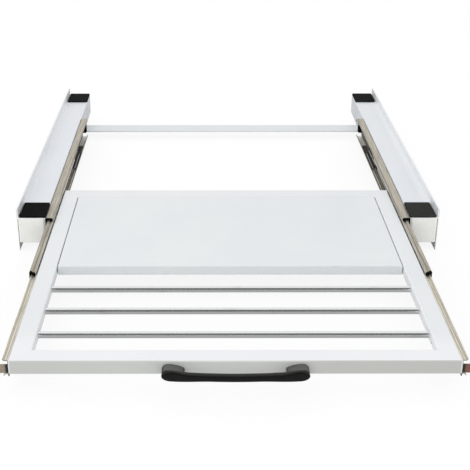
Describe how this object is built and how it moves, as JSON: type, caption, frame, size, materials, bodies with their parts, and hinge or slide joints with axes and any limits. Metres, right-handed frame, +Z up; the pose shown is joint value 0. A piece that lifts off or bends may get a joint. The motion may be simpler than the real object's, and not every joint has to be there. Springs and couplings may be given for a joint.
{
  "type": "washer dryer stacking kit",
  "caption": "Stacking frame with two side rails, rubber pads and a pull-out shelf with drying rods on ball bearing slides, set between a washer and a dryer.",
  "frame": {"origin": "under the middle of the kit with its shelf pulled out, level with the rails' lower edges", "axes": "+X to the right as seen from the front, +Y to the back, +Z up"},
  "size_m": [0.6, 0.9904, 0.065],
  "materials": {
    "white_enamel": "satin",
    "polystyrene": "matte",
    "pad_rubber": "matte",
    "slide_steel": "satin",
    "screw_steel": "satin",
    "black_plastic": "satin",
    "ball_steel": "polished",
    "rod_chrome": "gloss"
  },
  "bodies": {
    "root": {"left_rail": "white_enamel", "left_front_block": "polystyrene", "left_rear_block": "polystyrene", "left_front_pad": "pad_rubber", "left_rear_pad": "pad_rubber", "left_outer_slide": "slide_steel", "left_outer_rivets": "screw_steel", "left_outer_buffer": "black_plastic", "left_rear_bumper": "pad_rubber", "right_rail": "white_enamel", "right_front_block": "polystyrene", "right_rear_block": "polystyrene", "right_front_pad": "pad_rubber", "right_rear_pad": "pad_rubber", "right_outer_slide": "slide_steel", "right_outer_rivets": "screw_steel", "right_outer_buffer": "black_plastic", "right_rear_bumper": "pad_rubber", "rear_crossbar": "white_enamel", "crossbar_screws": "screw_steel"},
    "left_middle": {"left_middle_slide": "slide_steel", "left_middle_buffer": "black_plastic"},
    "left_outer_cage": {"left_outer_cage": "black_plastic", "left_outer_balls": "ball_steel"},
    "left_inner_cage": {"left_inner_cage": "black_plastic", "left_inner_balls": "ball_steel"},
    "left_lever": {"left_release_lever": "black_plastic"},
    "right_middle": {"right_middle_slide": "slide_steel", "right_middle_buffer": "black_plastic"},
    "right_outer_cage": {"right_outer_cage": "black_plastic", "right_outer_balls": "ball_steel"},
    "right_inner_cage": {"right_inner_cage": "black_plastic", "right_inner_balls": "ball_steel"},
    "right_lever": {"right_release_lever": "black_plastic"},
    "shelf": {"shelf_frame": "white_enamel", "shelf_panel": "white_enamel", "panel_screws": "screw_steel", "rear_rod": "rod_chrome", "middle_rod": "rod_chrome", "front_rod": "rod_chrome", "handle": "black_plastic", "handle_screws": "screw_steel", "left_inner_slide": "slide_steel", "right_inner_slide": "slide_steel", "left_inner_screws": "screw_steel", "right_inner_screws": "screw_steel", "left_lever_pin": "screw_steel", "right_lever_pin": "screw_steel"}
  },
  "joints": [
    {"name": "shelf_slide", "type": "slide", "parent": "root", "child": "shelf", "axis": [0, 1, 0], "range_m": [0, 0.362]},
    {"name": "left_middle_run", "type": "slide", "parent": "root", "child": "left_middle", "axis": [0, 1, 0], "range_m": [0, 0.16]},
    {"name": "left_outer_cage_run", "type": "slide", "parent": "root", "child": "left_outer_cage", "axis": [0, 1, 0], "range_m": [0, 0.08]},
    {"name": "left_inner_cage_run", "type": "slide", "parent": "root", "child": "left_inner_cage", "axis": [0, 1, 0], "range_m": [0, 0.261]},
    {"name": "right_middle_run", "type": "slide", "parent": "root", "child": "right_middle", "axis": [0, 1, 0], "range_m": [0, 0.16]},
    {"name": "right_outer_cage_run", "type": "slide", "parent": "root", "child": "right_outer_cage", "axis": [0, 1, 0], "range_m": [0, 0.08]},
    {"name": "right_inner_cage_run", "type": "slide", "parent": "root", "child": "right_inner_cage", "axis": [0, 1, 0], "range_m": [0, 0.261]},
    {"name": "left_lever_press", "type": "hinge", "parent": "shelf", "child": "left_lever", "pos_m": [-0.2494, -0.2835, 0.0335], "axis": [1, 0, 0], "range_deg": [0, 6], "stiffness_Nm_per_rad": 0.02, "springref_deg": -5.73},
    {"name": "right_lever_press", "type": "hinge", "parent": "shelf", "child": "right_lever", "pos_m": [0.2494, -0.2835, 0.0335], "axis": [1, 0, 0], "range_deg": [0, 6], "stiffness_Nm_per_rad": 0.02, "springref_deg": -5.73}
  ],
  "couplings": [
    {"joint": "left_middle_run", "follows": "shelf_slide", "ratio": 0.442},
    {"joint": "left_outer_cage_run", "follows": "shelf_slide", "ratio": 0.221},
    {"joint": "left_inner_cage_run", "follows": "shelf_slide", "ratio": 0.721},
    {"joint": "right_middle_run", "follows": "shelf_slide", "ratio": 0.442},
    {"joint": "right_outer_cage_run", "follows": "shelf_slide", "ratio": 0.221},
    {"joint": "right_inner_cage_run", "follows": "shelf_slide", "ratio": 0.721}
  ]
}
